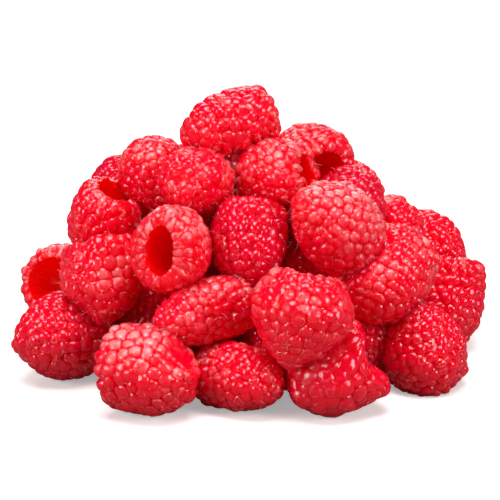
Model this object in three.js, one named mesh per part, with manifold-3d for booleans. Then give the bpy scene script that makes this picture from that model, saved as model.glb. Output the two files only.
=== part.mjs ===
// A loose heap of ripe raspberries lying on a flat surface.
// Lengths are in millimetres, +Z is up, and the heap is centred over the origin with its underside at Z = 0.
// The raspberries that show are joined to a mound that fills the middle of the heap.
import * as THREE from 'three';
import { mergeVertices } from 'three/addons/utils/BufferGeometryUtils.js';
import Module from 'manifold-3d';

const wasm = await Module();
wasm.setup();

// One raspberry, as shares of its own length and half width
const SIDES = 12;
const WIDEST_AT = 0.38;
const BODY_ROWS = [0.08, 0.24, 0.44, 0.64, 0.8, 0.93];
const BASE_SHARE = 0.78;
const BASE_ROUNDING = 2.6;
const BASE_FLAT = 0.96;
const KNOB = 0.035;
const BLUNT_POWER = 2.5;
const POINTED_POWER = 0.7;
const BLUNT_FULLNESS = 0.5;
const POINTED_FULLNESS = 0.12;

// The hollow that picking leaves in a raspberry
const HOLLOW_WAIST = 0.82;
const HOLLOW_MOUTH_AT = 0.05;
const HOLLOW_WAIST_AT = 0.4;
const HOLLOW_END_AT = 0.6;
const ROUND_MOUTH = { wide: 0.54, tall: 0.54 };

// The mound in the middle, as radius and height
const MOUND = [[34, -1], [35, 6], [32, 19], [24, 32], [14, 43], [7, 48]];
const MOUND_SIDES = 24;
const MOUND_BOTTOM = -1;
const MOUND_TOP = 49;

// The flat surface under the heap
const FLOOR_WIDTH = 200;
const FLOOR_DEPTH = 20;

const BERRY_RED = 0xc8102a;
const BERRY_ROUGHNESS = 0.42;
const UP = new THREE.Vector3(0, 0, 1);

// at: the middle of the raspberry. wide and long: its size. tip: the way its closed end points.
// pointed: 0 for a blunt end, 1 for a pointed one and more for a cone. base: how wide its open end is.
// oval: how much wider than tall it is.
// mouth: the hollow's opening, where it shows, as shares of the half width.
const BERRIES = [
  // Top of the heap
  { name: 'crest', at: [-6, -3.5, 59.6], wide: 16.6, long: 22.8, tip: [-0.9, -0.28, -0.22], pointed: 0.8,
    mouth: ROUND_MOUTH },
  { name: 'back_open', at: [14.5, 10.5, 48], wide: 18.8, long: 19, tip: [-0.42, 0.9, 0.02], pointed: 0.3,
    oval: 0.04, mouth: { wide: 0.5, tall: 0.46 } },
  { name: 'ridge_open', at: [4.2, -7.5, 47.9], wide: 17.4, long: 21, tip: [-0.83, 0.52, -0.2],
    pointed: 0.5, mouth: { wide: 0.26, tall: 0.6 } },
  { name: 'upper_left', at: [-23, -1.5, 47.7], wide: 18.4, long: 18.4, tip: [-0.25, -0.45, 0.85],
    pointed: 0.4 },
  { name: 'upper_mid', at: [-13, -13.5, 48.5], wide: 17.4, long: 20, tip: [-0.25, -0.9, 0.3], pointed: 0.4 },
  { name: 'top_filler', at: [-4.2, -4.5, 48], wide: 13.8, long: 15.6, tip: [0.1, 0.3, 0.95],
    pointed: 0.5 },
  { name: 'top_back', at: [-3, 16, 51], wide: 16.4, long: 17.4, tip: [0.1, 0.9, 0.3], pointed: 0.4 },
  // Upper ring
  { name: 'dark_left', at: [-31.5, 12.5, 39], wide: 17.2, long: 18, tip: [-0.3, 0.3, 0.9], pointed: 0.4 },
  { name: 'shoulder', at: [-36, -5.5, 35.5], wide: 17, long: 18, tip: [-0.42, 0.12, -0.9], pointed: 0.3,
    mouth: { wide: 0.6, tall: 0.5 } },
  { name: 'front_open', at: [-17.5, -24.5, 35.5], wide: 19.4, long: 18.8, tip: [0.3, 0.93, -0.12],
    pointed: 0.5, oval: -0.075, mouth: { wide: 0.36, tall: 0.56 } },
  { name: 'middle', at: [-0.5, -20.5, 34.5], wide: 18.8, long: 19.6, tip: [-0.1, -0.55, -0.8], pointed: 0.4 },
  { name: 'mid_right', at: [17.9, -21.5, 41.5], wide: 20.6, long: 21.6, tip: [-0.62, -0.45, 0.64],
    pointed: 1.4, base: 0.95 },
  { name: 'dark_right', at: [24, -1.5, 39.5], wide: 18.8, long: 19, tip: [0.1, 0.3, 0.93], pointed: 0.4 },
  { name: 'third_right', at: [23, 19, 33.5], wide: 18, long: 19, tip: [-0.5, -0.6, -0.5], pointed: 0.4,
    mouth: ROUND_MOUTH },
  { name: 'third_mid', at: [3, 24, 39], wide: 19.4, long: 20.6, tip: [-0.2, 0.9, 0.3], pointed: 0.5 },
  { name: 'third_left', at: [-16.5, 20, 40], wide: 18.6, long: 20, tip: [-0.5, 0.7, 0.5], pointed: 0.6 },
  // Middle ring
  { name: 'right_gap', at: [34.5, 6, 30.5], wide: 17.4, long: 18.2, tip: [0.1, 0.2, 0.95], pointed: 0.4 },
  { name: 'right_slope', at: [44.5, 17, 23.5], wide: 18.8, long: 19, tip: [-0.35, 0.2, 0.9], pointed: 0.7 },
  { name: 'right_big', at: [31.5, -19.5, 25.5], wide: 21.8, long: 22.4, tip: [-0.45, -0.7, -0.55],
    pointed: 0.5 },
  { name: 'left_mid', at: [-34.6, -19.5, 24.9], wide: 20.4, long: 20, tip: [0.12, -0.4, -0.9],
    pointed: 0.8, base: 0.85 },
  { name: 'centre_low', at: [-11.5, -31.5, 21.5], wide: 15.6, long: 23.6, tip: [-0.85, -0.5, -0.1],
    pointed: 0.5 },
  { name: 'front_mid', at: [11, -43.5, 23.5], wide: 22.8, long: 22, tip: [-0.2, -0.3, -0.93],
    pointed: 1.5, oval: 0.03, base: 0.6 },
  { name: 'side_right', at: [34.5, -4.5, 20], wide: 17.2, long: 18.2, tip: [0.8, -0.1, 0.6], pointed: 0.4 },
  { name: 'second_right', at: [29, 28, 25], wide: 19.4, long: 20, tip: [0.5, 0.7, 0.4], pointed: 0.3 },
  { name: 'second_mid', at: [11, 34, 25.5], wide: 20, long: 21, tip: [-0.4, 0.8, -0.4], pointed: 0.7 },
  { name: 'second_back', at: [-9, 35, 25], wide: 19.4, long: 20.6, tip: [0.2, 0.9, -0.3], pointed: 0.4 },
  { name: 'second_left', at: [-28, 27, 25.5], wide: 19.4, long: 20.4, tip: [0.6, -0.6, -0.3], pointed: 0.4,
    mouth: ROUND_MOUTH },
  { name: 'second_side', at: [-34.5, 8, 24.5], wide: 18.6, long: 20, tip: [-0.9, 0.3, -0.1], pointed: 0.6 },
  // Ring on the surface
  { name: 'far_right', at: [49, 6.5, 11], wide: 20, long: 22.6, tip: [-0.1, -0.35, -0.93], pointed: 0.2 },
  { name: 'right_front', at: [40.5, -21.5, 11.3], wide: 21.6, long: 21.8, tip: [-0.2, -0.2, 0.95],
    pointed: 1.3 },
  { name: 'left_open', at: [-47.6, 24, 10.2], wide: 20.4, long: 20.6, tip: [0.3, 0.84, -0.42], pointed: 0.4,
    mouth: { wide: 0.62, tall: 0.6 } },
  { name: 'left_front', at: [-45.9, -17.5, 11], wide: 22, long: 22.6, tip: [-0.9, -0.4, -0.05],
    pointed: 1.1 },
  { name: 'front_left', at: [-21.4, -41, 10.7], wide: 21, long: 20.8, tip: [0.85, -0.45, 0.02],
    pointed: 0.7, base: 0.92, mouth: ROUND_MOUTH },
  { name: 'front_centre', at: [-1, -38.5, 8.2], wide: 16, long: 20.4, tip: [0.75, -0.6, 0.1],
    pointed: 0.3, base: 0.96 },
  { name: 'front_right', at: [18.5, -39.5, 9.8], wide: 20.4, long: 22.4, tip: [-0.75, -0.55, -0.3],
    pointed: 0.6, mouth: ROUND_MOUTH },
  { name: 'shade_left', at: [-23, -11, 14], wide: 18, long: 19, tip: [0.5, -0.6, 0.5], pointed: 0.4 },
  { name: 'shade_mid', at: [8, -25, 9.7], wide: 19.4, long: 20, tip: [0.3, -0.9, 0.1], pointed: 0.4 },
  { name: 'shade_right', at: [27, -16, 9.8], wide: 19.4, long: 20, tip: [0.5, -0.8, 0.3], pointed: 0.4 },
  { name: 'behind_right', at: [43, 28, 10.3], wide: 19.8, long: 20.4, tip: [0.7, 0.6, 0.1], pointed: 0.5 },
  { name: 'back_right', at: [26, 40, 10], wide: 20, long: 21.4, tip: [0.4, 0.9, -0.1], pointed: 0.3 },
  { name: 'back_mid', at: [5, 43.5, 9.8], wide: 19.6, long: 21, tip: [-0.5, 0.8, 0.1], pointed: 0.8 },
  { name: 'back_left', at: [-16, 43, 10.2], wide: 20.4, long: 21.6, tip: [0.3, 0.9, 0.15], pointed: 0.5 },
  { name: 'behind_left', at: [-34.5, 35, 10.2], wide: 19.6, long: 21.6, tip: [-0.7, 0.6, -0.1],
    pointed: 0.6 },
  { name: 'under_left', at: [-39, 3, 9.4], wide: 18.4, long: 19.4, tip: [-0.9, 0.1, 0.1], pointed: 0.5 },
];

// Places where a raspberry is pushed in or bulges out. reach: how far it spreads. by: how far it goes.
const PUSHES = [
  { name: 'front_right', at: [32.5, -39, 15.5], reach: 6, by: [-6.5, 0, 0] },
  { name: 'front_right', at: [29.5, -40, 6], reach: 4, by: [2.4, 0, -0.5] },
  { name: 'front_left', at: [-12, -44, 20], reach: 5, by: [-1.6, 0, -2.4] },
  { name: 'centre_low', at: [-9, -34, 29.5], reach: 4, by: [0, 0, -1.6] },
  { name: 'left_mid', at: [-40.5, -24, 18], reach: 4.5, by: [3, 0, 0] },
  { name: 'left_mid', at: [-31.5, -23, 15], reach: 7, by: [-2, 0, 0] },
  { name: 'left_mid', at: [-41, -20, 33], reach: 5, by: [1, 0, -1.6] },
];

// Half width of a raspberry at a share of its length from its base, as a share of its widest half width.
function bodyShare(at, pointed, base) {
  if (at > WIDEST_AT) {
    const towardsTip = (at - WIDEST_AT) / (1 - WIDEST_AT);
    const power = BLUNT_POWER - POINTED_POWER * pointed;
    return (1 - towardsTip ** power) ** (BLUNT_FULLNESS + POINTED_FULLNESS * pointed);
  }
  const towardsBase = (WIDEST_AT - at) / WIDEST_AT;
  return 1 - (1 - base) * towardsBase ** BASE_ROUNDING;
}

// Outline of a raspberry from the axis at its base, out over its body, to the axis at its tip.
// Its hollow, where it has one, is first drawn with a radius of 1 at its mouth.
function berryOutline(berry, base) {
  const half = berry.wide / 2;
  const heightOf = (at) => (at - 0.5) * berry.long;
  const points = [];
  if (berry.mouth) {
    points.push(new THREE.Vector2(0, heightOf(HOLLOW_END_AT)));
    points.push(new THREE.Vector2(HOLLOW_WAIST, heightOf(HOLLOW_WAIST_AT)));
    points.push(new THREE.Vector2(1, heightOf(HOLLOW_MOUTH_AT)));
  } else {
    points.push(new THREE.Vector2(0, heightOf(0)));
  }
  points.push(new THREE.Vector2(half * base * BASE_FLAT, heightOf(0)));
  for (const at of BODY_ROWS) {
    points.push(new THREE.Vector2(half * bodyShare(at, berry.pointed, base), heightOf(at)));
  }
  points.push(new THREE.Vector2(0, heightOf(1)));
  return points;
}

// Widens the hollow's rows from a radius of 1 to the mouth's own two radii.
function openMouth(geometry, berry, rows, hollowRows) {
  const position = geometry.attributes.position;
  const half = berry.wide / 2;
  for (let side = 0; side <= SIDES; side += 1) {
    for (let row = 0; row < hollowRows; row += 1) {
      const index = side * rows + row;
      position.setX(index, position.getX(index) * half * berry.mouth.wide);
      position.setZ(index, position.getZ(index) * half * berry.mouth.tall);
    }
  }
}

// Every other point of each outer row stands out, and the rows are staggered, as the drupelets are.
function raiseKnobs(geometry, rows, firstRow) {
  const position = geometry.attributes.position;
  for (let side = 0; side <= SIDES; side += 1) {
    for (let row = firstRow; row < rows - 1; row += 1) {
      const index = side * rows + row;
      const share = (side + row) % 2 === 0 ? 1 + KNOB : 1 - KNOB;
      position.setX(index, position.getX(index) * share);
      position.setZ(index, position.getZ(index) * share);
    }
  }
}

// Pushes one raspberry in or out at the places that are listed for it.
function pushAbout(geometry, name) {
  const position = geometry.attributes.position;
  const point = new THREE.Vector3();
  for (const push of PUSHES.filter((each) => each.name === name)) {
    const middle = new THREE.Vector3(...push.at);
    const by = new THREE.Vector3(...push.by);
    for (let index = 0; index < position.count; index += 1) {
      point.fromBufferAttribute(position, index);
      const away = point.distanceTo(middle) / push.reach;
      point.addScaledVector(by, Math.exp(-(away ** 2)));
      position.setXYZ(index, point.x, point.y, point.z);
    }
  }
}

// A closed solid from a geometry, with its shared corners merged and its empty triangles left out.
function solidOf(geometry) {
  const bare = geometry.clone();
  bare.deleteAttribute('normal');
  bare.deleteAttribute('uv');
  const merged = mergeVertices(bare, 1e-4);
  const corners = merged.index.array;
  const kept = [];
  for (let i = 0; i < corners.length; i += 3) {
    const [a, b, c] = [corners[i], corners[i + 1], corners[i + 2]];
    if (a !== b && b !== c && c !== a) {
      kept.push(a, b, c);
    }
  }
  const vertProperties = new Float32Array(merged.attributes.position.array);
  const triVerts = new Uint32Array(kept);
  return new wasm.Manifold(new wasm.Mesh({ numProp: 3, vertProperties, triVerts }));
}

function makeBerry(berry) {
  const outline = berryOutline(berry, berry.base ?? BASE_SHARE);
  const geometry = new THREE.LatheGeometry(outline, SIDES);
  const hollowRows = outline.length - BODY_ROWS.length - 2;
  if (berry.mouth) {
    openMouth(geometry, berry, outline.length, hollowRows);
  }
  raiseKnobs(geometry, outline.length, hollowRows);
  const oval = berry.oval ?? 0;
  geometry.scale(1 + oval, 1, 1 - oval);
  const tip = new THREE.Vector3(...berry.tip).normalize();
  const side = new THREE.Vector3().crossVectors(tip, UP).normalize();
  const across = new THREE.Vector3().crossVectors(side, tip);
  geometry.applyMatrix4(new THREE.Matrix4().makeBasis(side, tip, across));
  geometry.translate(...berry.at);
  pushAbout(geometry, berry.name);
  return solidOf(geometry);
}

function makeMound() {
  const outline = [new THREE.Vector2(0, MOUND_BOTTOM)];
  for (const [radius, height] of MOUND) {
    outline.push(new THREE.Vector2(radius, height));
  }
  outline.push(new THREE.Vector2(0, MOUND_TOP));
  const geometry = new THREE.LatheGeometry(outline, MOUND_SIDES);
  geometry.rotateX(Math.PI / 2);
  return solidOf(geometry);
}

// What lies below the surface, which is cut away so that the lowest raspberries rest on small flats.
function makeFloor() {
  const geometry = new THREE.BoxGeometry(FLOOR_WIDTH, FLOOR_WIDTH, FLOOR_DEPTH);
  geometry.translate(0, 0, -FLOOR_DEPTH / 2);
  return solidOf(geometry);
}

// The largest body of a solid, without the shells of the gaps that are shut in between raspberries.
function largestBody(solid) {
  const bodies = solid.decompose();
  return bodies.reduce((best, body) => (body.volume() > best.volume() ? body : best));
}

function makeHeap() {
  let heap = makeMound();
  for (const berry of BERRIES) {
    heap = heap.add(makeBerry(berry));
  }
  return largestBody(heap.subtract(makeFloor()));
}

function geometryOf(solid) {
  const mesh = solid.getMesh();
  const geometry = new THREE.BufferGeometry();
  geometry.setAttribute('position', new THREE.BufferAttribute(mesh.vertProperties, 3));
  geometry.setIndex(new THREE.BufferAttribute(mesh.triVerts, 1));
  return geometry;
}

const flesh = new THREE.MeshStandardMaterial({ color: BERRY_RED, roughness: BERRY_ROUGHNESS, metalness: 0 });
const heapMesh = new THREE.Mesh(geometryOf(makeHeap()), flesh);
heapMesh.name = 'raspberry_heap';

const heap = new THREE.Group();
heap.name = 'heap_of_raspberries';
heap.add(heapMesh);

export default heap;
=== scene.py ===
"""A loose heap of ripe raspberries on a pale floor.

Every raspberry is built by itself: a thimble-shaped body, a hundred or so drupelets in
staggered rings, a rim of longer drupelets and the smooth hollow that picking leaves. The
finished raspberries are joined into a few pieces, by how ripe they are and how they lie.
Sizes are in millimetres until a mesh is written, which is in metres.
"""
import logging
import math
from dataclasses import dataclass, field
from enum import Enum
from typing import ClassVar

import bmesh
import bpy
import numpy as np
from mathutils import Matrix, Vector


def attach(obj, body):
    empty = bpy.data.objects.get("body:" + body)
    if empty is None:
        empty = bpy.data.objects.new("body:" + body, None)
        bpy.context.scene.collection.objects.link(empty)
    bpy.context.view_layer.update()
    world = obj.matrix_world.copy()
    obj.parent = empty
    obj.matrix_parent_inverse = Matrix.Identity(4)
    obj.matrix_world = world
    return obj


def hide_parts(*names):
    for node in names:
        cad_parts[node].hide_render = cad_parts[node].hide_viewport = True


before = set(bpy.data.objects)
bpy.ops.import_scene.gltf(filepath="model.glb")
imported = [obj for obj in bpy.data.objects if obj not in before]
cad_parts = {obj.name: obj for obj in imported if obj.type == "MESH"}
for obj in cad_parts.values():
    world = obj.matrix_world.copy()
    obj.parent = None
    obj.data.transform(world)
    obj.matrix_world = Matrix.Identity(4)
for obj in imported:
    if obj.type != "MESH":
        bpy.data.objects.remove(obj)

logging.basicConfig(level=logging.INFO, format="%(message)s")
LOG = logging.getLogger("raspberries")

MM = 0.001
NODE = "raspberry_heap"
BODY = "root"
SEED = 41
TINY = 1e-9
CUES = ("crown", "tone", "upward", "ripe", "hollow")


class Kind(Enum):
    """The pieces that the raspberries are joined into, by ripeness and by how they lie."""

    BRIGHT = "raspberries_bright"
    PALE = "raspberries_pale"
    DEEP = "raspberries_deep"
    OPEN = "raspberries_open"
    BACK = "raspberries_back"
    INNER = "raspberries_inner"

    def seen_little(self) -> bool:
        """Whether its raspberries lie where the photograph hardly shows them."""
        return self in (Kind.BACK, Kind.INNER)


@dataclass(frozen=True)
class Mouth:
    """The opening of a raspberry's hollow, as shares of the half width of the raspberry.

    wide is level and tall is across it. aside is how far it sits off the middle.
    """

    wide: float = 0.54
    tall: float = 0.54
    aside: float = 0.0

    def reach(self, angle: float) -> float:
        """How far the opening's edge is from its middle at an angle round the axis."""
        return 1 / math.hypot(math.cos(angle) / self.wide, math.sin(angle) / self.tall)


@dataclass(frozen=True)
class Berry:
    """One raspberry of the heap.

    at is the middle of it and tip is the way its closed end points. pointed is 0 for a blunt
    end, 1 for a pointed one and more for a cone. ripe is 0 for a pale one and 1 for a dark one.
    oval is how much wider than tall it is, grain how large its drupelets are, and base how wide
    its open end is.
    """

    name: str
    at: tuple[float, float, float]
    wide: float
    long: float
    tip: tuple[float, float, float]
    pointed: float
    kind: Kind
    ripe: float
    oval: float = 0.0
    grain: float = 1.0
    base: float = 0.78
    mouth: Mouth = Mouth()


@dataclass(frozen=True)
class Push:
    """A place where one raspberry is pushed in or bulges out.

    at is the middle of the place in the heap, reach how far it spreads and by how far it goes.
    """

    name: str
    at: tuple[float, float, float]
    reach: float
    by: tuple[float, float, float]


BERRIES = [
    # Top of the heap
    Berry("crest", (-6, -3.5, 59.6), 16.6, 22.8, (-0.9, -0.28, -0.22), 0.8, Kind.BRIGHT, 0.5,
          grain=1.1),
    Berry("back_open", (14.5, 10.5, 48), 18.8, 19, (-0.42, 0.9, 0.02), 0.3, Kind.OPEN, 0.3,
          oval=0.04, mouth=Mouth(0.5, 0.46)),
    Berry("ridge_open", (4.2, -7.5, 47.9), 17.4, 21, (-0.83, 0.52, -0.2), 0.5, Kind.OPEN, 0.4,
          grain=0.92, mouth=Mouth(0.26, 0.6)),
    Berry("upper_left", (-23, -1.5, 47.7), 18.4, 18.4, (-0.25, -0.45, 0.85), 0.4, Kind.BRIGHT, 0.4),
    Berry("upper_mid", (-13, -13.5, 48.5), 17.4, 20, (-0.25, -0.9, 0.3), 0.4, Kind.PALE, 0.35),
    Berry("top_filler", (-4.2, -4.5, 48), 13.8, 15.6, (0.1, 0.3, 0.95), 0.5, Kind.PALE, 0.3),
    Berry("top_back", (-3, 16, 51), 16.4, 17.4, (0.1, 0.9, 0.3), 0.4, Kind.BACK, 0.5),
    # Upper ring
    Berry("dark_left", (-31.5, 12.5, 39), 17.2, 18, (-0.3, 0.3, 0.9), 0.4, Kind.DEEP, 0.95),
    Berry("shoulder", (-36, -5.5, 35.5), 17, 18, (-0.42, 0.12, -0.9), 0.3, Kind.OPEN, 0.5,
          mouth=Mouth(0.6, 0.5)),
    Berry("front_open", (-17.5, -24.5, 35.5), 19.4, 18.8, (0.3, 0.93, -0.12), 0.5, Kind.OPEN, 0.15,
          oval=-0.075, mouth=Mouth(0.36, 0.56, 0.04)),
    Berry("middle", (-0.5, -20.5, 34.5), 18.8, 19.6, (-0.1, -0.55, -0.8), 0.4, Kind.DEEP, 0.85),
    Berry("mid_right", (17.9, -21.5, 41.5), 20.6, 21.6, (-0.62, -0.45, 0.64), 1.4, Kind.PALE, 0.1,
          grain=1.08, base=0.95),
    Berry("dark_right", (24, -1.5, 39.5), 18.8, 19, (0.1, 0.3, 0.93), 0.4, Kind.DEEP, 0.95),
    Berry("third_right", (23, 19, 33.5), 18, 19, (-0.5, -0.6, -0.5), 0.4, Kind.OPEN, 0.45),
    Berry("third_mid", (3, 24, 39), 19.4, 20.6, (-0.2, 0.9, 0.3), 0.5, Kind.BACK, 0.35),
    Berry("third_left", (-16.5, 20, 40), 18.6, 20, (-0.5, 0.7, 0.5), 0.6, Kind.BACK, 0.6),
    # Middle ring
    Berry("right_gap", (34.5, 6, 30.5), 17.4, 18.2, (0.1, 0.2, 0.95), 0.4, Kind.BRIGHT, 0.45),
    Berry("right_slope", (44.5, 17, 23.5), 18.8, 19, (-0.35, 0.2, 0.9), 0.7, Kind.BRIGHT, 0.5),
    Berry("right_big", (31.5, -19.5, 25.5), 21.8, 22.4, (-0.45, -0.7, -0.55), 0.5, Kind.BRIGHT,
          0.4),
    Berry("left_mid", (-34.6, -19.5, 24.9), 20.4, 20, (0.12, -0.4, -0.9), 0.8, Kind.BRIGHT, 0.45,
          grain=1.1, base=0.85),
    Berry("centre_low", (-11.5, -31.5, 21.5), 15.6, 23.6, (-0.85, -0.5, -0.1), 0.5, Kind.BRIGHT,
          0.45),
    Berry("front_mid", (11, -43.5, 23.5), 22.8, 22, (-0.2, -0.3, -0.93), 1.5, Kind.DEEP, 0.45,
          oval=0.03, grain=1.15, base=0.6),
    Berry("side_right", (34.5, -4.5, 20), 17.2, 18.2, (0.8, -0.1, 0.6), 0.4, Kind.INNER, 0.6),
    Berry("second_right", (29, 28, 25), 19.4, 20, (0.5, 0.7, 0.4), 0.3, Kind.BACK, 0.4),
    Berry("second_mid", (11, 34, 25.5), 20, 21, (-0.4, 0.8, -0.4), 0.7, Kind.BACK, 0.55),
    Berry("second_back", (-9, 35, 25), 19.4, 20.6, (0.2, 0.9, -0.3), 0.4, Kind.BACK, 0.3),
    Berry("second_left", (-28, 27, 25.5), 19.4, 20.4, (0.6, -0.6, -0.3), 0.4, Kind.OPEN, 0.4),
    Berry("second_side", (-34.5, 8, 24.5), 18.6, 20, (-0.9, 0.3, -0.1), 0.6, Kind.BACK, 0.5),
    # Ring on the floor
    Berry("far_right", (49, 6.5, 11), 20, 22.6, (-0.1, -0.35, -0.93), 0.2, Kind.DEEP, 0.55),
    Berry("right_front", (40.5, -21.5, 11.3), 21.6, 21.8, (-0.2, -0.2, 0.95), 1.3, Kind.DEEP, 0.6),
    Berry("left_open", (-47.6, 24, 10.2), 20.4, 20.6, (0.3, 0.84, -0.42), 0.4, Kind.OPEN, 0.2,
          mouth=Mouth(0.62, 0.6)),
    Berry("left_front", (-45.9, -17.5, 11), 22, 22.6, (-0.9, -0.4, -0.05), 1.1, Kind.DEEP, 0.65),
    Berry("front_left", (-21.4, -41, 10.7), 21, 20.8, (0.85, -0.45, 0.02), 0.7, Kind.PALE, 0.25,
          grain=1.12, base=0.92),
    Berry("front_centre", (-1, -38.5, 8.2), 16, 20.4, (0.75, -0.6, 0.1), 0.3, Kind.PALE, 0.45,
          base=0.96),
    Berry("front_right", (18.5, -39.5, 9.8), 20.4, 22.4, (-0.75, -0.55, -0.3), 0.6, Kind.BRIGHT,
          0.6, grain=1.35),
    Berry("shade_left", (-23, -11, 14), 18, 19, (0.5, -0.6, 0.5), 0.4, Kind.PALE, 0.7),
    Berry("shade_mid", (8, -25, 9.7), 19.4, 20, (0.3, -0.9, 0.1), 0.4, Kind.PALE, 0.7),
    Berry("shade_right", (27, -16, 9.8), 19.4, 20, (0.5, -0.8, 0.3), 0.4, Kind.PALE, 0.7),
    Berry("behind_right", (43, 28, 10.3), 19.8, 20.4, (0.7, 0.6, 0.1), 0.5, Kind.BACK, 0.35),
    Berry("back_right", (26, 40, 10), 20, 21.4, (0.4, 0.9, -0.1), 0.3, Kind.BACK, 0.6),
    Berry("back_mid", (5, 43.5, 9.8), 19.6, 21, (-0.5, 0.8, 0.1), 0.8, Kind.BACK, 0.45),
    Berry("back_left", (-16, 43, 10.2), 20.4, 21.6, (0.3, 0.9, 0.15), 0.5, Kind.OPEN, 0.5),
    Berry("behind_left", (-34.5, 35, 10.2), 19.6, 21.6, (-0.7, 0.6, -0.1), 0.6, Kind.OPEN, 0.6),
    Berry("under_left", (-39, 3, 9.4), 18.4, 19.4, (-0.9, 0.1, 0.1), 0.5, Kind.INNER, 0.5),
    # Deeper ones, which show through the gaps
    Berry("inner_left", (-15, -2, 29.5), 18, 19, (-0.3, -0.8, 0.3), 0.5, Kind.INNER, 0.7,
          grain=1.1),
    Berry("inner_right", (14, -9, 26.5), 18, 19, (0.4, -0.8, 0.2), 0.5, Kind.INNER, 0.7, grain=1.1),
    Berry("inner_top", (8, 7, 33), 17, 18, (0.6, 0.3, 0.6), 0.5, Kind.INNER, 0.7, grain=1.1),
    Berry("inner_back", (-7, 16.5, 26.5), 18, 19, (-0.2, 0.8, 0.4), 0.5, Kind.INNER, 0.7,
          grain=1.1),
    Berry("inner_low", (-7, -15, 15), 17, 18, (-0.3, -0.9, 0.1), 0.5, Kind.INNER, 0.7, grain=1.1),
    Berry("inner_front", (-14.5, -26.5, 8.5), 15, 16, (-0.3, -0.9, 0.2), 0.5, Kind.INNER, 0.8,
          grain=1.1),
    Berry("inner_side", (20, 8, 22), 17, 18, (0.8, 0.2, 0.3), 0.5, Kind.INNER, 0.7, grain=1.1),
]


PUSHES = [
    Push("front_right", (32.5, -39, 15.5), 6, (-6.5, 0, 0)),
    Push("front_right", (29.5, -40, 6), 4, (2.4, 0, -0.5)),
    Push("front_left", (-12, -44, 20), 5, (-1.6, 0, -2.4)),
    Push("front_right", (24, -43, 19.5), 3.5, (1.5, 0, 1.2)),
    Push("centre_low", (-9, -34, 29.5), 4, (0, 0, -1.6)),
    Push("upper_mid", (-16, -22, 51), 2.6, (0, 2, -0.5)),
    Push("left_mid", (-40.5, -24, 18), 4.5, (3, 0, 0)),
    Push("left_mid", (-31.5, -23, 15), 7, (-2, 0, 0)),
    Push("left_mid", (-41, -20, 33), 5, (1, 0, -1.6)),
]


@dataclass
class Grown:
    """The finished triangles of one raspberry, in millimetres in the heap's own frame.

    crown is 0 in the creases and 1 on top of a drupelet, tone differs from drupelet to
    drupelet, upward is 1 where the skin faces up and -1 where it faces down, ripe is the
    raspberry's own and hollow is 1 inside the hollow.
    """

    points: np.ndarray
    corners: np.ndarray
    crown: np.ndarray
    tone: np.ndarray
    upward: np.ndarray
    ripe: np.ndarray
    hollow: np.ndarray
    tops: np.ndarray
    outward: np.ndarray


@dataclass(frozen=True)
class Outline:
    """The outer shape of a raspberry, as its half width at a share of its length from its base."""

    half: float
    length: float
    pointed: float
    widest_at: float = 0.38
    base_share: float = 0.78
    base_rounding: float = 2.6
    blunt_power: float = 2.5
    pointed_power: float = 0.7
    blunt_fullness: float = 0.5
    pointed_fullness: float = 0.12

    def radius(self, at: float) -> float:
        """Half width at a share of the length.

        Args:
            at: 0 at the base and 1 at the tip.

        Returns:
            The half width in millimetres.
        """
        if at > self.widest_at:
            towards_tip = min((at - self.widest_at) / (1 - self.widest_at), 1.0)
            power = self.blunt_power - self.pointed_power * self.pointed
            fullness = self.blunt_fullness + self.pointed_fullness * self.pointed
            return self.half * (1 - towards_tip**power) ** fullness
        towards_base = (self.widest_at - at) / self.widest_at
        return self.half * (1 - (1 - self.base_share) * towards_base**self.base_rounding)

    def height(self, at: float) -> float:
        """Height above the middle of the raspberry at a share of its length."""
        return (at - 0.5) * self.length

    def meridian(self, steps: int = 400) -> np.ndarray:
        """Points from the tip down to the base.

        Args:
            steps: How many points, closer together near the tip.

        Returns:
            Rows of radius, height and distance along the surface from the tip.
        """
        shares = 1 - np.linspace(0, 1, steps) ** 2
        rows = np.array([(self.radius(at), self.height(at)) for at in shares])
        run = np.concatenate([[0.0], np.cumsum(np.hypot(*np.diff(rows, axis=0).T))])
        return np.column_stack([rows, run])


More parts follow.
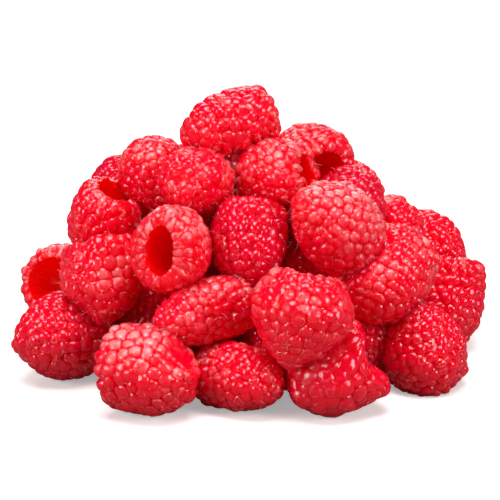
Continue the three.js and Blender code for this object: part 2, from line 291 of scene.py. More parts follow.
@dataclass
class Drupelets:
    """Where the drupelets of one raspberry sit, how large they are and which way they face.

    pitch is the distance from drupelet to drupelet in a ring, row_pitch the distance from ring to
    ring, girth a drupelet's half width and depth how far it reaches inwards. The names that start
    with rim hold the same for the longer drupelets at the open end.
    """

    outline: Outline
    rng: np.random.Generator
    grain: float
    mouth: Mouth
    pitch: float = 2.85
    row_pitch: float = 2.42
    girth: float = 1.78
    depth: float = 1.7
    rim_pitch: float = 2.55
    rim_edge: float = 0.97
    rim_beyond: float = 0.19
    rim_overlap: float = 0.35
    rim_tilt: float = 62.0
    rim_share: float = 0.75
    rim_girth: float = 1.32
    rim_room: float = 0.6
    row_shift: float = 0.15
    fewest_rows: int = 4
    fewest_in_row: int = 5
    slope_span: int = 2
    jitter: float = 0.11
    height_jitter: float = 0.2
    places: list[np.ndarray] = field(default_factory=list)
    facings: list[np.ndarray] = field(default_factory=list)
    on_rim: int = 0

    def add(self, angle: float, radius: float, height: float, out: float, up: float,
            sizes: tuple[float, float, float]) -> None:
        """Adds one drupelet.

        Args:
            angle: Where it sits round the axis, in radians.
            radius: How far its top is from the axis.
            height: How high its top is.
            out: How much it faces away from the axis.
            up: How much it faces the tip.
            sizes: Its half widths round the axis, along the raspberry and outwards.
        """
        spread = self.rng.normal(1.0, self.jitter, 3)
        around = np.array([-math.sin(angle), math.cos(angle), 0.0])
        facing = np.array([math.cos(angle) * out, math.sin(angle) * out, up])
        facing += self.rng.normal(0.0, self.jitter, 3)
        facing /= np.linalg.norm(facing)
        along = np.cross(facing, around)
        along /= np.linalg.norm(along)
        around = np.cross(along, facing)
        axes = np.column_stack([around * sizes[0], along * sizes[1], facing * sizes[2]]) * spread
        top = np.array([math.cos(angle) * radius, math.sin(angle) * radius, height])
        lift = self.rng.normal(0.0, self.jitter)
        self.places.append(top - facing * (sizes[2] * spread[2] - lift))
        self.facings.append(axes)

    def spread(self) -> None:
        """Fills the raspberry with rings of drupelets from the tip to the rim."""
        line = self.outline.meridian()
        run = line[:, 2]
        reach = run[-1] - self.rim_room
        rows = max(self.fewest_rows, round(reach / (self.row_pitch * self.grain)))
        step = reach / rows
        girth = self.girth * self.grain
        self.add(0.0, 0.0, line[0, 1], 0.0, 1.0, (girth, girth, self.depth))
        turn = self.rng.uniform(0, 2 * math.pi)
        beside = self.slope_span
        for row in range(1, rows + 1):
            here = row * step - self.row_shift * step
            index = int(np.searchsorted(run, here).clip(beside, len(run) - 1 - beside))
            radius, height = line[index, 0], line[index, 1]
            slope = line[index + beside, :2] - line[index - beside, :2]
            slope /= np.linalg.norm(slope)
            out, up = -slope[1], slope[0]
            count = max(self.fewest_in_row, round(2 * math.pi * radius / (self.pitch * self.grain)))
            turn += math.pi / count
            wide = self.girth * (2 * math.pi * radius / count) / self.pitch
            for place in range(count):
                angle = turn + 2 * math.pi * (place + self.rng.normal(0, self.jitter)) / count
                self.add(angle, radius, height + self.rng.normal(0, self.height_jitter), out, up,
                         (wide, self.girth * step / self.row_pitch, self.depth))
        self.add_rim()

    def add_rim(self) -> None:
        """Adds the longer drupelets that roll over the rim towards the hollow."""
        half = self.outline.half
        count = round(2 * math.pi * half * self.rim_share / self.rim_pitch)
        self.on_rim = count
        turn = self.rng.uniform(0, 2 * math.pi)
        tilt = math.radians(self.rim_tilt)
        for place in range(count):
            angle = turn + 2 * math.pi * (place + self.rng.normal(0, self.jitter)) / count
            inner = half * (self.mouth.reach(angle) + self.mouth.aside * math.cos(angle))
            outer = half * min(self.rim_edge, self.outline.base_share + self.rim_beyond)
            radius = (inner + outer) / 2
            sizes = (math.pi * radius / count * self.rim_girth,
                     (outer - inner) / 2 + self.rim_overlap, self.depth)
            self.add(angle, radius, self.outline.height(0.0), math.cos(tilt), -math.sin(tilt),
                     sizes)


@dataclass(frozen=True)
class Ball:
    """A rounded drupelet of radius 1 with its pole on +Z, which is stretched and copied.

    flatness is 2 for a sphere and more for fuller sides. crowding is 1 for rings that are evenly
    spaced and more for rings that lie closer together near the top.
    """

    points: np.ndarray
    faces: list[tuple[int, ...]]
    flatness: ClassVar[float] = 2.5
    crowding: ClassVar[float] = 1.25

    @classmethod
    def made(cls, sides: int, rings: int) -> "Ball":
        """Makes one from a sphere.

        Args:
            sides: Faces round it.
            rings: Faces from pole to pole.

        Returns:
            The ball.
        """
        shape = bmesh.new()
        bmesh.ops.create_uvsphere(shape, u_segments=sides, v_segments=rings, radius=1.0)
        shape.verts.ensure_lookup_table()
        points = np.array([v.co[:] for v in shape.verts])
        turn = np.arctan2(points[:, 1], points[:, 0])
        down = math.pi * (np.arccos(np.clip(points[:, 2], -1, 1)) / math.pi)**cls.crowding
        across = np.sin(down)
        points = np.column_stack([across * np.cos(turn), across * np.sin(turn), np.cos(down)])
        power = cls.flatness
        fullness = (across**power + np.abs(points[:, 2])**power)**(-1 / power)
        faces = [tuple(v.index for v in f.verts) for f in shape.faces]
        shape.free()
        return cls(points * fullness[:, None], faces)


class Workshop:
    """Makes the closed shapes that a raspberry is joined and cut from."""

    merge_distance: ClassVar[float] = 1e-4

    def __init__(self) -> None:
        """Makes a fine and a plain drupelet, and a collection for what is joined."""
        self.fine = Ball.made(sides=14, rings=8)
        self.plain = Ball.made(sides=11, rings=7)
        self.bench = bpy.data.collections.new("bench")
        bpy.context.scene.collection.children.link(self.bench)

    def turned(self, name: str, profile: list[tuple[float, float]], sides: int) -> bpy.types.Object:
        """A closed solid turned round Z from a profile that starts and ends on the axis.

        Args:
            name: The object's name.
            profile: Radius and height of each point.
            sides: Faces round it.

        Returns:
            The object, not yet in a collection.
        """
        shape = bmesh.new()
        verts = [shape.verts.new((radius, 0.0, height)) for radius, height in profile]
        edges = [shape.edges.new(pair) for pair in zip(verts, verts[1:])]
        bmesh.ops.spin(shape, geom=verts + edges, cent=(0, 0, 0), axis=(0, 0, 1),
                       angle=2 * math.pi, steps=sides, use_merge=True)
        bmesh.ops.remove_doubles(shape, verts=shape.verts[:], dist=self.merge_distance)
        bmesh.ops.recalc_face_normals(shape, faces=shape.faces[:])
        mesh = bpy.data.meshes.new(name)
        shape.to_mesh(mesh)
        shape.free()
        return bpy.data.objects.new(name, mesh)

    @staticmethod
    def balls(name: str, ball: Ball, places: np.ndarray, facings: np.ndarray) -> bpy.types.Object:
        """One object with a stretched ball at each place.

        Args:
            name: The object's name.
            ball: The ball that is copied.
            places: The middle of each copy.
            facings: Each copy's three half axes, as columns.

        Returns:
            The object, not yet in a collection.
        """
        points = np.einsum("nij,pj->npi", facings, ball.points) + places[:, None, :]
        size = len(ball.points)
        faces = [tuple(corner + size * copy for corner in face)
                 for copy in range(len(places)) for face in ball.faces]
        mesh = bpy.data.meshes.new(name)
        mesh.from_pydata(points.reshape(-1, 3).tolist(), [], faces)
        return bpy.data.objects.new(name, mesh)

    @staticmethod
    def shared_out(places: np.ndarray, reach: float) -> np.ndarray:
        """Sorts the drupelets into groups in which none touches another.

        Args:
            places: The middle of each drupelet.
            reach: How far apart two of a group have to be.

        Returns:
            The group's number for each drupelet.
        """
        apart = np.linalg.norm(places[:, None] - places[None], axis=2)
        group = np.full(len(places), -1)
        for index in range(len(places)):
            near = group[:index][apart[index, :index] < reach]
            number = 0
            while number in near:
                number += 1
            group[index] = number
        return group

    def joined(self, body: bpy.types.Object, parts: list[bpy.types.Object],
               cut: bpy.types.Object) -> tuple[np.ndarray, np.ndarray]:
        """Joins the parts to the body by one union, then cuts the hollow out of them.

        Args:
            body: The body that the parts are joined to.
            parts: The groups of drupelets.
            cut: The shape of the hollow.

        Returns:
            The points and the triangles of what is left.
        """
        scene = bpy.context.scene.collection
        scene.objects.link(body)
        for part in parts:
            self.bench.objects.link(part)
        scene.objects.link(cut)
        union = body.modifiers.new("join", "BOOLEAN")
        union.operation = "UNION"
        union.operand_type = "COLLECTION"
        union.collection = self.bench
        union.solver = "MANIFOLD"
        hollow = body.modifiers.new("hollow", "BOOLEAN")
        hollow.operation = "DIFFERENCE"
        hollow.object = cut
        hollow.solver = "MANIFOLD"
        graph = bpy.context.evaluated_depsgraph_get()
        made = bpy.data.meshes.new_from_object(body.evaluated_get(graph))
        made.calc_loop_triangles()
        points = np.empty(len(made.vertices) * 3)
        made.vertices.foreach_get("co", points)
        corners = np.empty(len(made.loop_triangles) * 3, np.int64)
        made.loop_triangles.foreach_get("vertices", corners)
        for thing in [body, cut, *parts]:
            mesh = thing.data
            bpy.data.objects.remove(thing)
            bpy.data.meshes.remove(mesh)
        bpy.data.meshes.remove(made)
        return points.reshape(-1, 3), corners.reshape(-1, 3)

    def close(self) -> None:
        """Removes the collection that the parts were laid in."""
        bpy.data.collections.remove(self.bench)


@dataclass
class Grower:
    """Grows one raspberry after another.

    Heights are shares of the raspberry's length, and the hollow's half widths are shares of its
    opening's. flare is the hollow's profile up to its waist, and dome holds the angles of the
    points on its round end. wall_reach and wall_beyond are how close to the hollow's shape a point
    lies that is on its wall. apart is how far two drupelets are from each other that don't touch,
    crease_reach how wide the painted shade of a crease is, and own_share how much a point's own
    direction counts beside its drupelet's.
    """

    workshop: Workshop
    skin_depth: float = 1.15
    thinnest: float = 0.4
    body_sides: int = 24
    body_rings: int = 10
    body_from: float = 0.06
    body_to: float = 0.93
    body_end: float = 0.96
    hollow_sides: int = 36
    flare: tuple[tuple[float, float], ...] = ((0.0, -0.3), (1.1, -0.3), (1.02, -0.04), (1.0, 0.05))
    waist: float = 0.82
    waist_at: float = 0.36
    dome: tuple[float, ...] = (20.0, 40.0, 60.0, 80.0)
    hollow_end: float = 0.62
    wall_reach: float = 1.04
    wall_beyond: float = 0.02
    apart: float = 3.75
    crease_reach: float = 0.62
    batch: int = 2000
    rim_paleness: float = 0.7
    own_share: float = 0.65

    def body(self, outline: Outline) -> bpy.types.Object:
        """The flesh under the drupelets, a little inside the outline."""
        shares = np.linspace(self.body_from, self.body_to, self.body_rings)
        profile = [(0.0, outline.height(self.body_from))]
        profile += [(max(outline.radius(at) - self.skin_depth, self.thinnest), outline.height(at))
                    for at in shares]
        profile.append((0.0, outline.height(self.body_end)))
        return self.workshop.turned("flesh", profile, self.body_sides)

    def hollow(self, outline: Outline, mouth: Mouth) -> bpy.types.Object:
        """The shape that picking leaves empty, wide at the mouth and round at its end."""
        profile = [(across, outline.height(at)) for across, at in self.flare]
        profile.append((self.waist, outline.height(self.waist_at)))
        for turn in self.dome:
            angle = math.radians(turn)
            rise = (self.hollow_end - self.waist_at) * math.sin(angle)
            profile.append((self.waist * math.cos(angle), outline.height(self.waist_at + rise)))
        profile.append((0.0, outline.height(self.hollow_end)))
        made = self.workshop.turned("hollow", profile, self.hollow_sides)
        half = outline.half
        made.data.transform(Matrix.Translation((half * mouth.aside, 0, 0))
                            @ Matrix.Diagonal((half * mouth.wide, half * mouth.tall, 1, 1)))
        return made

    def grow(self, berry: Berry, rng: np.random.Generator) -> Grown:
        """Grows one raspberry and lays it in its place.

        Args:
            berry: Which one.
            rng: Where its unevenness comes from.

        Returns:
            Its triangles, in the heap's frame.
        """
        outline = Outline(berry.wide / 2, berry.long, berry.pointed, base_share=berry.base)
        drupelets = Drupelets(outline, rng, berry.grain, berry.mouth)
        drupelets.spread()
        places = np.array(drupelets.places)
        facings = np.array(drupelets.facings)
        group = self.workshop.shared_out(places, self.apart * berry.grain)
        ball = self.workshop.plain if berry.kind.seen_little() else self.workshop.fine
        parts = [self.workshop.balls(f"group_{number}", ball, places[group == number],
                                     facings[group == number])
                 for number in range(group.max() + 1)]
        points, corners = self.workshop.joined(self.body(outline), parts,
                                               self.hollow(outline, berry.mouth))
        crown, owner = self.crowns(points, places, facings)
        tones = rng.uniform(0, 1, len(places))
        # The rim's drupelets get a higher tone, so more pale bloom with its painted highlight, and
        # more painted glints.
        tones[-drupelets.on_rim:] += self.rim_paleness
        tone = tones[owner]
        inside = self.in_hollow(points, outline, berry.mouth)
        ways = facings[:, :, 2]
        tops = places + ways
        warp = Warp.drawn(rng, berry)
        outward = warp.turn(ways / np.linalg.norm(ways, axis=1, keepdims=True))
        ripe = np.full(len(points), berry.ripe)
        laid = warp.lay(points)
        own = self.facing_up(laid, corners)
        # How much the skin faces up, which places the skin's painted highlight.
        upward = self.own_share * own + (1 - self.own_share) * outward[owner, 2]
        return Grown(laid, corners, crown, tone, upward, ripe, inside, warp.lay(tops), outward)

    @staticmethod
    def facing_up(points: np.ndarray, corners: np.ndarray) -> np.ndarray:
        """Finds how much the skin faces up at each point.

        Args:
            points: The raspberry's points in the heap's frame.
            corners: Three corners for each triangle.

        Returns:
            1 where it faces straight up and -1 where it faces straight down.
        """
        first, second, third = points[corners].transpose(1, 0, 2)
        ways = np.repeat(np.cross(second - first, third - first), 3, axis=0)
        total = np.column_stack([np.bincount(corners.ravel(), ways[:, axis], len(points))
                                 for axis in range(3)])
        return total[:, 2] / np.maximum(np.linalg.norm(total, axis=1), TINY)

    def crowns(self, points: np.ndarray, places: np.ndarray,
               facings: np.ndarray) -> tuple[np.ndarray, np.ndarray]:
        """Finds how close each point is to a crease, and which drupelet it lies on.

        Args:
            points: The raspberry's points.
            places: The middle of each drupelet.
            facings: Each drupelet's half axes.

        Returns:
            The crown of every point and the number of its drupelet.
        """
        inverse = np.linalg.inv(facings)
        crown = np.empty(len(points))
        owner = np.empty(len(points), np.int64)
        for start in range(0, len(points), self.batch):
            part = slice(start, start + self.batch)
            local = np.einsum("nij,pnj->pni", inverse, points[part, None, :] - places[None])
            away = np.linalg.norm(local, axis=2)
            order = np.argpartition(away, 1, axis=1)[:, :2]
            two = np.sort(np.take_along_axis(away, order, axis=1), axis=1)
            crown[part] = np.clip((two[:, 1] - two[:, 0]) / self.crease_reach, 0, 1)
            owner[part] = np.argmin(away, axis=1)
        return crown, owner

    def in_hollow(self, points: np.ndarray, outline: Outline, mouth: Mouth) -> np.ndarray:
        """1 for the points that lie on the wall of the hollow, and 0 for the others."""
        flat = points[:, :2] / outline.half - [mouth.aside, 0]
        away = np.hypot(flat[:, 0] / mouth.wide, flat[:, 1] / mouth.tall)
        share = points[:, 2] / outline.length + 0.5
        near = (away < self.wall_reach) & (share < self.hollow_end + self.wall_beyond)
        return near.astype(float)


@dataclass
class Warp:
    """What makes a raspberry uneven, and the place and turn that it lies in.

    two_lobes and three_lobes are the heights of the swellings round it and waves of those along it,
    as shares of its width. bow_rise and bow_rest shape its bend along its length.
    """

    at: np.ndarray
    axes: np.ndarray
    oval: float
    bend: np.ndarray
    lumps: np.ndarray
    length: float
    pushes: list[Push]
    two_lobes: ClassVar[float] = 0.028
    three_lobes: ClassVar[float] = 0.018
    waves: ClassVar[float] = 0.012
    wave_count: ClassVar[float] = 7
    bow_rise: ClassVar[float] = 4
    bow_rest: ClassVar[float] = 0.4
    bend_spread: ClassVar[float] = 0.35
    upright: ClassVar[float] = 1e-3

    @classmethod
    def drawn(cls, rng: np.random.Generator, berry: Berry) -> "Warp":
        """Draws the unevenness of one raspberry.

        Args:
            rng: Where it comes from.
            berry: The raspberry.

        Returns:
            The warp that lays it.
        """
        tip = np.array(berry.tip) / np.linalg.norm(berry.tip)
        side = np.cross(tip, [0.0, 0.0, 1.0])
        if np.linalg.norm(side) < cls.upright:
            side = np.array([1.0, 0.0, 0.0])
        side /= np.linalg.norm(side)
        axes = np.column_stack([side, np.cross(tip, side), tip])
        bend = rng.normal(0, cls.bend_spread, 2)
        lumps = rng.uniform(0, 2 * math.pi, 3)
        pushes = [push for push in PUSHES if push.name == berry.name]
        return cls(np.array(berry.at, float), axes, berry.oval, bend, lumps, berry.long, pushes)

    def lay(self, points: np.ndarray) -> np.ndarray:
        """Bends points of the raspberry's own frame and lays them in the heap.

        Args:
            points: Points with the tip on +Z.

        Returns:
            The points in the heap's frame, none of them under the floor.
        """
        x, y, z = points.T
        angle = np.arctan2(y, x)
        share = z / self.length
        swell = 1 + self.two_lobes * np.sin(2 * angle + self.lumps[0])
        swell += self.three_lobes * np.sin(3 * angle + self.lumps[1])
        swell += self.waves * np.sin(self.wave_count * share + self.lumps[2])
        bow = self.bow_rise * share**2 - self.bow_rest
        bent = np.column_stack([
            x * swell * (1 + self.oval) + self.bend[0] * bow,
            y * swell * (1 - self.oval) + self.bend[1] * bow,
            z,
        ])
        laid = bent @ self.axes.T + self.at
        for push in self.pushes:
            away = np.linalg.norm(laid - np.array(push.at), axis=1)
            laid += np.exp(-(away / push.reach)**2)[:, None] * np.array(push.by)
        laid[:, 2] = np.maximum(laid[:, 2], 0.0)
        return laid

    def turn(self, ways: np.ndarray) -> np.ndarray:
        """Directions turned from the raspberry's own frame into the heap's."""
        return ways @ self.axes.T


class Field:
    """A shader socket that Python's operators work on."""

    def __init__(self, tree: bpy.types.NodeTree, socket: bpy.types.NodeSocket) -> None:
        """Wraps one output socket of a node tree."""
        self.tree = tree
        self.socket = socket

    def _math(self, operation: str, *values: "Field | float") -> "Field":
        """Adds one Math node that works on these values."""
        node = self.tree.nodes.new("ShaderNodeMath")
        node.operation = operation
        for index, value in enumerate(values):
            if isinstance(value, Field):
                self.tree.links.new(value.socket, node.inputs[index])
            else:
                node.inputs[index].default_value = value
        return Field(self.tree, node.outputs[0])

    def __add__(self, other: "Field | float") -> "Field":
        """Sum of two fields."""
        return self._math("ADD", self, other)

    __radd__ = __add__

    def __sub__(self, other: "Field | float") -> "Field":
        """Difference of two fields."""
        return self._math("SUBTRACT", self, other)

    def __rsub__(self, other: float) -> "Field":
        """Difference of a number and this field."""
        return self._math("SUBTRACT", other, self)

    def __mul__(self, other: "Field | float") -> "Field":
        """Product of two fields."""
        return self._math("MULTIPLY", self, other)

    __rmul__ = __mul__

    def __pow__(self, other: float) -> "Field":
        """This field raised to a power."""
        return self._math("POWER", self, other)

    def size(self) -> "Field":
        """This field without its sign."""
        return self._math("ABSOLUTE", self)

    def limited(self) -> "Field":
        """This field kept between 0 and 1."""
        return self._math("MINIMUM", self._math("MAXIMUM", self, 0.0), 1.0)


class Nodes:
    """A node tree under construction."""

    def __init__(self, tree: bpy.types.NodeTree) -> None:
        """Starts from an empty tree."""
        self.tree = tree
        self.tree.nodes.clear()

    def node(self, kind: str, settings: dict | None = None,
             sockets: dict | None = None) -> bpy.types.Node:
        """Adds one node.

        Args:
            kind: The node's type.
            settings: Its properties, which are set first.
            sockets: The value or the link of each input socket, by name or number.

        Returns:
            The node.
        """
        made = self.tree.nodes.new(kind)
        for name, value in (settings or {}).items():
            setattr(made, name, value)
        for name, value in (sockets or {}).items():
            target = made.inputs[name]
            if isinstance(value, Field):
                self.tree.links.new(value.socket, target)
            else:
                target.default_value = value
        return made

    def out(self, made: bpy.types.Node, name: str | int = 0) -> Field:
        """One output of a node, as a field."""
        return Field(self.tree, made.outputs[name])


class Finish(Nodes):
    """A material under construction, with its nodes written as expressions."""

    mix_inputs: ClassVar[tuple[int, int, int]] = (0, 6, 7)
    mix_result: ClassVar[int] = 2

    def __init__(self, name: str) -> None:
        """Starts an empty material with this name."""
        self.material = bpy.data.materials.new(name)
        self.material.use_nodes = True
        super().__init__(self.material.node_tree)

    def attribute(self, name: str) -> Field:
        """The mesh's own attribute of this name, as a number."""
        return self.out(self.node("ShaderNodeAttribute", {"attribute_name": name}), "Fac")

    def noise(self, scale: float, detail: float = 2.0) -> Field:
        """Noise on the object's own coordinates.

        Args:
            scale: Cells in a metre.
            detail: How many finer layers it has.

        Returns:
            The noise, about 0.5.
        """
        where = self.out(self.node("ShaderNodeTexCoord"), "Object")
        return self.out(self.node("ShaderNodeTexNoise", sockets={"Vector": where, "Scale": scale,
                                                                 "Detail": detail}), "Fac")

    def mix(self, share: "Field | float", low: "Field | tuple", high: "Field | tuple") -> Field:
        """A blend of two colours.

        Args:
            share: 0 for the first colour and 1 for the second.
            low: The first colour.
            high: The second colour.

        Returns:
            The blend.
        """
        sockets = {number: (*value, 1.0) if isinstance(value, tuple) else value
                   for number, value in zip(self.mix_inputs, (share, low, high))}
        return self.out(self.node("ShaderNodeMix", {"data_type": "RGBA"}, sockets), self.mix_result)

    def finish(self, sockets: dict) -> bpy.types.Material:
        """Adds the surface and the output.

        Args:
            sockets: The value or link of each input of the surface shader.

        Returns:
            The finished material.
        """
        surface = self.node("ShaderNodeBsdfPrincipled", sockets=sockets)
        self.node("ShaderNodeOutputMaterial", sockets={0: self.out(surface)})
        return self.material


@dataclass(frozen=True)
class RaspberrySkin:
    """The moist skin: a painted shade of deeper red in the creases, a pale bloom with a painted
    highlight on the crowns that face up, and painted glints where a crown bends down to its flank.

    The names that end in cells are how many cells of that pattern lie in a metre.
    """

    # Painted shade: a deeper red for the creases.
    crease: tuple[float, float, float] = (0.84, 0.0, 0.010)
    flank: tuple[float, float, float] = (0.93, 0.0004, 0.030)
    # The pale bloom, which is also a painted highlight where the crowns face up.
    bloom_and_painted_highlight: tuple[float, float, float] = (0.985, 0.28, 0.285)
    # Painted glint: the bright broken rings on the crown edges.
    edge: tuple[float, float, float] = (0.99, 0.42, 0.42)
    dark: tuple[float, float, float] = (0.55, 0.0003, 0.034)
    inside: tuple[float, float, float] = (0.99, 0.0003, 0.004)
    cloud_cells: float = 120.0
    speck_cells: float = 750.0
    grain_cells: float = 2600.0
    ripple_cells: float = 1000.0
    # How sharply the pale bloom and its painted highlight fade.
    bloom_edge: float = 1.3
    bump_strength: float = 0.5
    bump_height: float = 0.0003
    light_reach: float = 0.007

    def make(self) -> bpy.types.Material:
        """Builds the material."""
        skin = Finish("raspberry_skin")
        crown = skin.attribute("crown")
        tone = skin.attribute("tone")
        upward = skin.attribute("upward")
        ripe = skin.attribute("ripe")
        hollow = skin.attribute("hollow")
        cloud = skin.noise(self.cloud_cells)
        speck = skin.noise(self.speck_cells)
        grain = skin.noise(self.grain_cells, 3.0)
        ripple = skin.noise(self.ripple_cells, 1.0)
        # The pale bloom lies in patches, less on ripe raspberries, on crowns; where they face up it
        # is paler still, a painted highlight of the light from above
        patch = (0.96 + (cloud - 0.5) * 3.6 + (tone - 0.5) * 0.5 - ripe * 2.0).limited()
        # Painted highlight: paler where the skin faces up.
        above = (0.3 + upward * 0.85 + (speck - 0.5) * 1.6).limited()
        painted_highlight_and_bloom = (((crown - 0.12) * 3).limited() * patch * above)**self.bloom_edge
        # Painted glints: broken bright rings run where a crown bends down to its flank, on the
        # paler drupelets
        ring = (1 - ((crown - 0.35) * 7).size()).limited() * ((ripple - 0.44) * 7).limited()
        rings = ring * ((tone - 0.4) * 2).limited() * 0.5
        darkness = ((ripe - 0.45) * 1.2 + (cloud - 0.5) * 0.5).limited()
        # Painted shade: the creases are a deeper red than the flanks.
        colour = skin.mix((crown * 4).limited(), self.crease, self.flank)
        # The pale bloom, with its painted highlight on the crowns that face up.
        colour = skin.mix(painted_highlight_and_bloom, colour, self.bloom_and_painted_highlight)
        # Painted glints on the crown edges.
        colour = skin.mix(rings, colour, self.edge)
        colour = skin.mix(darkness, colour, self.dark)
        colour = skin.mix(hollow, colour, self.inside)
        roughness = 0.1 + patch * 0.12 + (grain - 0.5) * 0.08 + (1 - crown) * 0.06
        bump = skin.node("ShaderNodeBump", sockets={"Strength": self.bump_strength,
                                                    "Distance": self.bump_height,
                                                    "Height": grain * 0.25 + ripple})
        return skin.finish({
            "Base Color": colour,
            "Roughness": roughness,
            "Normal": skin.out(bump),
            "Subsurface Weight": 1.0,
            "Subsurface Radius": (1.0, 0.04, 0.04),
            "Subsurface Scale": self.light_reach,
            "Specular IOR Level": 0.5,
            "Coat Weight": 0.25,
            "Coat Roughness": 0.08,
        })


@dataclass(frozen=True)
class StyleFinish:
    """The dry, pale pink hairs that stand off the drupelets."""

    red: tuple[float, float, float] = (0.90, 0.25, 0.24)
    pink: tuple[float, float, float] = (0.95, 0.55, 0.50)
    cells: float = 900.0

    def make(self) -> bpy.types.Material:
        """Builds the material."""
        hair = Finish("style_hair")
        colour = hair.mix(hair.noise(self.cells), self.red, self.pink)
        return hair.finish({"Base Color": colour, "Roughness": 0.5, "Subsurface Weight": 0.2,
                            "Subsurface Scale": 0.0006})


@dataclass(frozen=True)
class ShadeFinish:
    """Painted shade: a dull dark red for what lies deep between raspberries, where shade falls."""

    colour: tuple[float, float, float] = (0.42, 0.0, 0.012)

    def make(self) -> bpy.types.Material:
        """Builds the material."""
        shade = Finish("heap_shade")
        return shade.finish({"Base Color": (*self.colour, 1.0), "Roughness": 0.95,
                             "Specular IOR Level": 0.05})


def write_mesh(name: str, points: np.ndarray, corners: np.ndarray,
               cues: dict[str, np.ndarray], material: bpy.types.Material,
               crease_angle: float) -> bpy.types.Object:
    """Writes triangles as one piece that rides on the heap.

    Args:
        name: The piece's name.
        points: Its points in millimetres.
        corners: Three corners for each triangle.
        cues: The numbers of its own attributes, one for each point.
        material: Its finish.
        crease_angle: Edges sharper than this stay sharp, in degrees.

    Returns:
        The piece.
    """
    mesh = bpy.data.meshes.new(name)
    mesh.vertices.add(len(points))
    mesh.vertices.foreach_set("co", (points * MM).astype(np.float32).ravel())
    mesh.loops.add(len(corners) * 3)
    mesh.loops.foreach_set("vertex_index", corners.astype(np.int32).ravel())
    mesh.polygons.add(len(corners))
    mesh.polygons.foreach_set("loop_start", np.arange(0, len(corners) * 3, 3, dtype=np.int32))
    mesh.update(calc_edges=True)
    mesh.validate()
    for cue, values in cues.items():
        own = mesh.attributes.new(cue, "FLOAT", "POINT")
        own.data.foreach_set("value", values.astype(np.float32))
    mesh.shade_smooth()
    mesh.set_sharp_from_angle(angle=math.radians(crease_angle))
    mesh.materials.append(material)
    piece = bpy.data.objects.new(name, mesh)
    bpy.context.scene.collection.objects.link(piece)
    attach(piece, BODY)
    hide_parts(NODE)
    return piece


@dataclass
class Heap:
    """All the raspberries, joined by kind."""

    crease_angle: float = 42.0

    def build(self) -> dict[Kind, list[Grown]]:
        """Grows every raspberry.

        Returns:
            The raspberries of each kind.
        """
        workshop = Workshop()
        grower = Grower(workshop)
        grown: dict[Kind, list[Grown]] = {kind: [] for kind in Kind}
        for index, berry in enumerate(BERRIES):
            rng = np.random.default_rng(SEED + index)
            made = grower.grow(berry, rng)
            grown[berry.kind].append(made)
            LOG.info("%s: %d triangles", berry.name, len(made.corners))
        workshop.close()
        return grown

    def write(self, grown: dict[Kind, list[Grown]], material: bpy.types.Material) -> None:
        """Joins the raspberries of each kind into one piece.

        Args:
            grown: The raspberries of each kind.
            material: Their skin.
        """
        for kind, group in grown.items():
            offsets = np.cumsum([0] + [len(one.points) for one in group])
            points = np.concatenate([one.points for one in group])
            corners = np.concatenate([one.corners + start for one, start in zip(group, offsets)])
            cues = {cue: np.concatenate([getattr(one, cue) for one in group]) for cue in CUES}
            write_mesh(kind.value, points, corners, cues, material, self.crease_angle)
            LOG.info("%s: %d raspberries, %d triangles", kind.value, len(group), len(corners))


@dataclass
class Mound:
    """The middle of the heap, dark with painted shade, which only shows deep between raspberries.
    """

    profile: tuple[tuple[float, float], ...] = (
        (0, 0.4), (26, 0.4), (27, 6), (24, 18), (16, 29), (8, 36), (0, 38))
    sides: int = 48
    crease_angle: float = 60.0

    def build(self, workshop: Workshop, material: bpy.types.Material) -> None:
        """Turns the mound.

        Args:
            workshop: What turns it.
            material: Its finish.
        """
        rough = workshop.turned("mound", list(self.profile), self.sides)
        mesh = rough.data
        mesh.calc_loop_triangles()
        points = np.array([v.co[:] for v in mesh.vertices])
        corners = np.array([t.vertices[:] for t in mesh.loop_triangles])
        bpy.data.objects.remove(rough)
        bpy.data.meshes.remove(mesh)
        write_mesh("heap_middle", points, corners, {}, material, self.crease_angle)


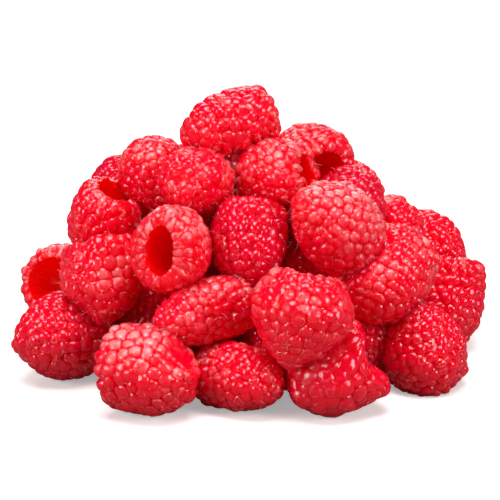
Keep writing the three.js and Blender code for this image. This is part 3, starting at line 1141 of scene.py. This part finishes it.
@dataclass
class Styles:
    """The fine hairs that stand off the drupelets, one on some of them.

    share is how many drupelets have one. A hair starts off_middle of its lean beside the drupelet's
    top and sunk into it, leans over, and curls and thins towards its end.
    """

    share: float = 0.28
    length: tuple[float, float] = (0.8, 1.9)
    thickness: float = 0.042
    taper: tuple[float, float, float] = (1.0, 0.8, 0.35)
    lean: float = 0.75
    off_middle: float = 0.5
    sunk: float = 0.25
    curl: float = 0.35
    lowest: float = 0.02
    askew: float = 0.01
    sides: int = 3
    crease_angle: float = 80.0

    def build(self, grown: dict[Kind, list[Grown]], material: bpy.types.Material) -> None:
        """Sets a hair on some of the drupelets of every raspberry.

        Args:
            grown: The raspberries of each kind.
            material: The hairs' finish.
        """
        rng = np.random.default_rng(SEED)
        tops = np.concatenate([one.tops for group in grown.values() for one in group])
        outward = np.concatenate([one.outward for group in grown.values() for one in group])
        chosen = rng.uniform(0, 1, len(tops)) < self.share
        points = self.rings(tops[chosen], outward[chosen], rng)
        corners = self.corners()
        count = int(chosen.sum())
        size = self.sides * len(self.taper)
        every = np.concatenate([corners + size * hair for hair in range(count)])
        write_mesh("raspberry_styles", points, every, {}, material, self.crease_angle)
        LOG.info("raspberry_styles: %d hairs, %d triangles", count, len(every))

    def rings(self, tops: np.ndarray, outward: np.ndarray, rng: np.random.Generator) -> np.ndarray:
        """Lays three rings of points for each hair: at its root, its middle and its end.

        Args:
            tops: The tops of the drupelets that have a hair.
            outward: The way that each of them faces.
            rng: Where the hairs' lean, length and curl come from.

        Returns:
            The points of all the hairs, one hair after another.
        """
        count = len(tops)
        lean = rng.normal(0, self.lean, (count, 3))
        lean -= outward * np.sum(lean * outward, axis=1, keepdims=True)
        start = tops + lean * self.off_middle - outward * self.sunk
        way = outward + lean
        way /= np.linalg.norm(way, axis=1, keepdims=True)
        reach = rng.uniform(*self.length, (count, 1))
        middle = start + way * reach * 0.5
        end = middle + (way + rng.normal(0, self.curl, (count, 3))) * reach * 0.5
        across = np.cross(way, outward + self.askew)
        across /= np.linalg.norm(across, axis=1, keepdims=True)
        over = np.cross(way, across)
        rings = []
        for place, thick in zip((start, middle, end), self.taper):
            for side in range(self.sides):
                angle = 2 * math.pi * side / self.sides
                offset = across * math.cos(angle) + over * math.sin(angle)
                rings.append(place + offset * self.thickness * thick)
        points = np.stack(rings, axis=1).reshape(-1, 3)
        points[:, 2] = np.maximum(points[:, 2], self.lowest)
        return points

    def corners(self) -> np.ndarray:
        """The triangles of one hair: its sides, and one that closes each end."""
        corners = []
        for ring in range(len(self.taper) - 1):
            for side in range(self.sides):
                one = ring * self.sides + side
                other = ring * self.sides + (side + 1) % self.sides
                corners += [(one, other, other + self.sides),
                            (one, other + self.sides, one + self.sides)]
        corners += [(2, 1, 0), (6, 7, 8)]
        return np.array(corners)


@dataclass(frozen=True)
class SoftBox:
    """A lamp: where it hangs and its width and height, in metres, and its power, in watts."""

    name: str
    at: tuple[float, float, float]
    size: tuple[float, float]
    power: float


@dataclass
class Studio:
    """The pale floor, the soft light all round and the camera.

    The colours that end in seen are what the camera sees, and those that end in felt what the heap
    is lit by, which is dim and a little red, as between raspberries.
    """

    elevation: float = 17.0
    distance: float = 480.0
    aim: tuple[float, float, float] = (0.0, 2.5, 26.5)
    lens: float = 140.0
    sensor: float = 36.0
    clip_end: float = 20.0
    floor_size: float = 3.0
    floor_drop: float = 0.0001
    floor_seen: tuple[float, float, float] = (0.96, 0.96, 0.96)
    floor_felt: tuple[float, float, float] = (0.3, 0.18, 0.18)
    floor_glow: tuple[float, float, float] = (0.35, 0.35, 0.35)
    world_seen: tuple[float, float, float] = (1.0, 1.0, 1.0)
    world_felt: tuple[float, float, float] = (1.0, 0.62, 0.62)
    seen_strength: float = 1.0
    felt_strength: float = 0.06
    lit_at: tuple[float, float, float] = (0.0, 0.0, 0.03)
    lamps: tuple[SoftBox, ...] = (
        SoftBox("top_light", (0.0, -0.22, 0.90), (0.62, 0.50), 7.7),
        SoftBox("left_light", (-0.5, -0.34, 0.25), (0.28, 0.28), 2.05),
        SoftBox("right_light", (0.5, -0.34, 0.25), (0.28, 0.28), 2.05),
        SoftBox("back_light", (0.0, 0.55, 0.42), (0.50, 0.30), 1.8),
    )

    def camera(self) -> None:
        """Sets the camera where the photograph was taken from."""
        data = bpy.data.cameras.new("camera")
        data.lens = self.lens
        data.sensor_width = self.sensor
        data.clip_end = self.clip_end
        camera = bpy.data.objects.new("camera", data)
        tilt = math.radians(self.elevation)
        back = Vector((0.0, -math.cos(tilt), math.sin(tilt)))
        camera.location = (Vector(self.aim) + back * self.distance) * MM
        camera.rotation_euler = (-back).to_track_quat("-Z", "Y").to_euler()
        bpy.context.scene.collection.objects.link(camera)
        bpy.context.scene.camera = camera

    def floor(self) -> None:
        """Lays the pale floor."""
        shape = bmesh.new()
        bmesh.ops.create_grid(shape, x_segments=1, y_segments=1, size=self.floor_size)
        mesh = bpy.data.meshes.new("floor")
        shape.to_mesh(mesh)
        shape.free()
        paint = Finish("pale_floor")
        seen = paint.out(paint.node("ShaderNodeLightPath"), "Is Camera Ray")
        mesh.materials.append(paint.finish({
            "Base Color": paint.mix(seen, self.floor_felt, self.floor_seen),
            "Emission Color": paint.mix(seen, (0.0, 0.0, 0.0), self.floor_glow),
            "Emission Strength": 1.0,
            "Roughness": 0.9,
            "Specular IOR Level": 0.0,
        }))
        floor = bpy.data.objects.new("floor", mesh)
        floor.location.z = -self.floor_drop
        bpy.context.scene.collection.objects.link(floor)

    def hang(self, box: SoftBox) -> None:
        """Hangs one soft box that faces the heap."""
        data = bpy.data.lights.new(box.name, "AREA")
        data.shape = "RECTANGLE"
        data.size, data.size_y = box.size
        data.energy = box.power
        lamp = bpy.data.objects.new(box.name, data)
        lamp.location = box.at
        way = Vector(self.lit_at) - Vector(box.at)
        lamp.rotation_euler = way.to_track_quat("-Z", "Y").to_euler()
        bpy.context.scene.collection.objects.link(lamp)

    def surroundings(self) -> None:
        """Paints the surroundings white for the camera and dim for the heap."""
        world = bpy.data.worlds.new("white_surroundings")
        world.use_nodes = True
        nodes = Nodes(world.node_tree)
        camera_ray = nodes.out(nodes.node("ShaderNodeLightPath"), "Is Camera Ray")
        felt, seen = [
            nodes.out(nodes.node("ShaderNodeBackground", sockets={"Strength": strength,
                                                                  "Color": (*colour, 1.0)}))
            for strength, colour in ((self.felt_strength, self.world_felt),
                                     (self.seen_strength, self.world_seen))]
        both = nodes.node("ShaderNodeMixShader", sockets={0: camera_ray, 1: felt, 2: seen})
        nodes.node("ShaderNodeOutputWorld", sockets={0: nodes.out(both)})
        bpy.context.scene.world = world

    def build(self) -> None:
        """Sets up everything that isn't the heap."""
        self.camera()
        self.floor()
        for box in self.lamps:
            self.hang(box)
        self.surroundings()
        view = bpy.context.scene.view_settings
        view.view_transform = "Standard"
        view.look = "None"


def main() -> None:
    """Builds the studio, the raspberries, the middle of the heap and the hairs."""
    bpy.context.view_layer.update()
    Studio().build()
    skin = RaspberrySkin().make()
    heap = Heap()
    grown = heap.build()
    heap.write(grown, skin)
    workshop = Workshop()
    Mound().build(workshop, ShadeFinish().make())
    workshop.close()
    Styles().build(grown, StyleFinish().make())


if __name__ == "__main__":
    main()
